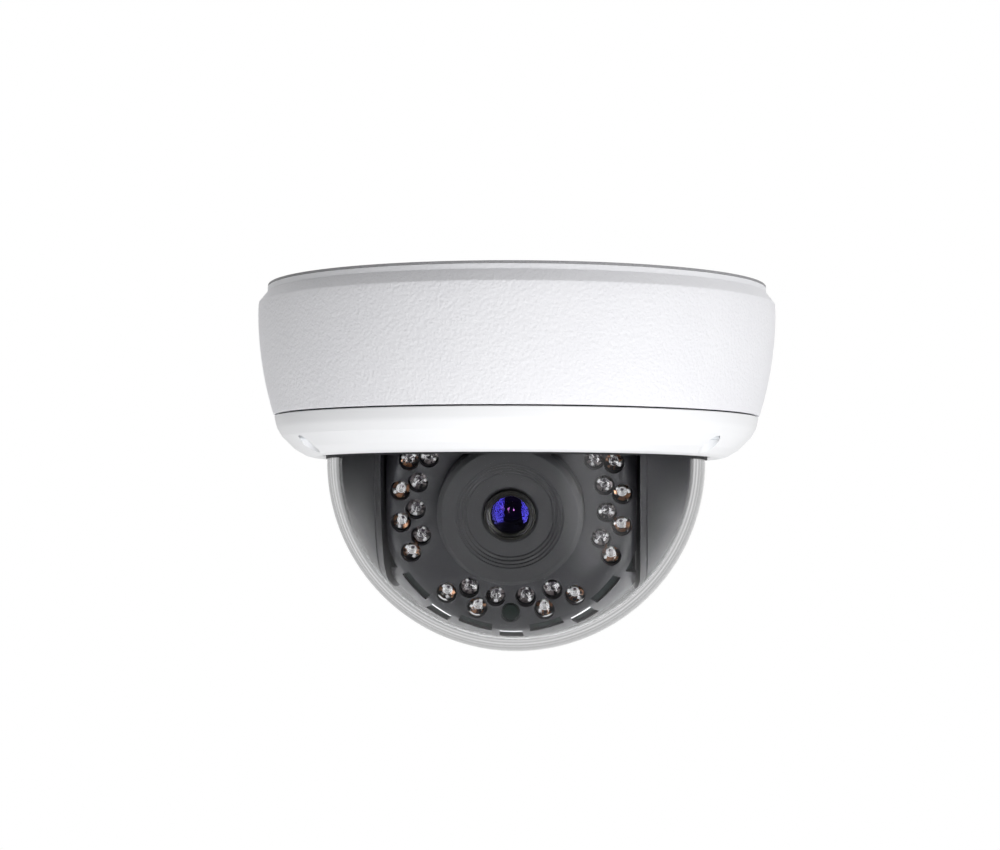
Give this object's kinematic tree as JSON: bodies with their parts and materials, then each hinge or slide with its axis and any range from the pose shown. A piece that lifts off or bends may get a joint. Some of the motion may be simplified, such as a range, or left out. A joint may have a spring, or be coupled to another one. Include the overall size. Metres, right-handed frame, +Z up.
{
  "type": "dome cctv camera",
  "caption": "Ceiling dome security camera: a cast housing, a cover ring with a clear dome, and a camera head that pans, tilts and rolls inside, with infrared emitters round the lens.",
  "frame": {"origin": "centre of the flat face that lies on the ceiling", "axes": "+Z up into the ceiling, -Y the way the lens looks at rest, +X to the right of a viewer who faces the lens"},
  "size_m": [0.14, 0.14, 0.0986],
  "materials": {
    "white_paint": "off-white powder coat with a fine leather grain",
    "white_cover_paint": "off-white smooth satin paint",
    "foam": "closed-cell foam",
    "black_rubber": "matt black moulded rubber",
    "clear_dome": "clear polished polycarbonate",
    "dark_plastic": "dark grey moulded plastic with a fine texture",
    "bright_steel": "zinc plated steel",
    "black_steel": "black oxide steel",
    "green_board": "circuit board with green solder mask",
    "black_board": "circuit board with black solder mask",
    "chip_plastic": "moulded epoxy component body",
    "photocell": "light sensor under clear epoxy",
    "capacitor_sleeve": "shrink sleeve on an aluminium can",
    "connector_plastic": "natural nylon",
    "emitter_epoxy": "clear epoxy over a reflector cup",
    "black_anodised": "black anodised aluminium",
    "coated_glass": "polished glass with an anti-reflection coating",
    "filter_glass": "infrared blocking glass",
    "sensor_face": "image sensor under its cover glass"
  },
  "bodies": {
    "base": {"base_housing": "white_paint", "mounting_gasket": "foam", "cable_grommet": "black_rubber", "cover_seal": "black_rubber", "main_board": "green_board", "board_screw_left": "bright_steel", "board_screw_right": "bright_steel", "board_screw_centre": "bright_steel", "power_connector": "connector_plastic", "power_inductor": "chip_plastic", "video_connector": "connector_plastic", "processor_chip": "chip_plastic", "filter_capacitor": "capacitor_sleeve", "button_housing": "chip_plastic", "cover_ring": "white_cover_paint", "dome_bubble": "clear_dome", "dome_seal": "black_rubber", "dome_retainer": "bright_steel", "retainer_screw_front": "bright_steel", "retainer_screw_left": "bright_steel", "retainer_screw_right": "bright_steel", "cover_screw_left": "bright_steel", "cover_screw_right": "bright_steel", "cover_screw_rear": "bright_steel", "pan_friction_washer": "bright_steel", "pan_retaining_clip": "black_steel"},
    "button": {"reset_button": "connector_plastic"},
    "pan_stage": {"pan_turntable": "dark_plastic", "yoke_arm_left": "dark_plastic", "yoke_arm_right": "dark_plastic", "arm_screw_left": "bright_steel", "arm_screw_right": "bright_steel"},
    "tilt_head": {"front_bezel": "dark_plastic", "ir_led_board": "black_board", "ir_led_bank_left": "emitter_epoxy", "ir_led_bank_right": "emitter_epoxy", "ir_led_bank_bottom": "emitter_epoxy", "light_sensor": "photocell", "rear_cover": "dark_plastic", "head_screw_upper_left": "black_steel", "head_screw_upper_right": "black_steel", "head_screw_lower_left": "black_steel", "head_screw_lower_right": "black_steel", "tilt_pivot_left": "black_steel", "tilt_pivot_right": "black_steel"},
    "camera_module": {"sensor_board": "green_board", "image_sensor": "sensor_face", "filter_housing": "dark_plastic", "filter_actuator": "connector_plastic", "lens_holder": "dark_plastic", "holder_screw_left": "bright_steel", "holder_screw_right": "bright_steel", "lens_shroud": "black_rubber"},
    "filter_blade": {"ir_cut_filter": "filter_glass"},
    "lens": {"lens_barrel": "black_anodised", "front_lens": "coated_glass", "lens_ring": "black_anodised", "rear_lens": "coated_glass"},
    "lock_ring": {"lens_lock_ring": "black_anodised"}
  },
  "joints": [
    {"name": "pan", "type": "hinge", "parent": "base", "child": "pan_stage", "pos_m": [0, 0, -0.0474], "axis": [0, 0, 1], "range_deg": [-175, 175]},
    {"name": "tilt", "type": "hinge", "parent": "pan_stage", "child": "tilt_head", "pos_m": [0, 0, -0.0474], "axis": [1, 0, 0], "range_deg": [-16, 74]},
    {"name": "roll", "type": "hinge", "parent": "tilt_head", "child": "camera_module", "pos_m": [0, 0.00124, -0.05173], "axis": [0, -0.9613, -0.2756], "range_deg": [-170, 170]},
    {"name": "focus", "type": "hinge", "parent": "camera_module", "child": "lens", "pos_m": [0, 0.00124, -0.05173], "axis": [0, -0.9613, -0.2756], "range_deg": [-180, 180]},
    {"name": "lens_lock", "type": "hinge", "parent": "lens", "child": "lock_ring", "pos_m": [0, 0.00124, -0.05173], "axis": [0, -0.9613, -0.2756], "range_deg": [-60, 60]},
    {"name": "filter_switch", "type": "slide", "parent": "camera_module", "child": "filter_blade", "axis": [-1, 0, 0], "range_m": [0, 0.0082]},
    {"name": "reset_press", "type": "slide", "parent": "base", "child": "button", "axis": [0, 0, 1], "range_m": [0, 0.00025], "stiffness_N_per_m": 2000}
  ]
}
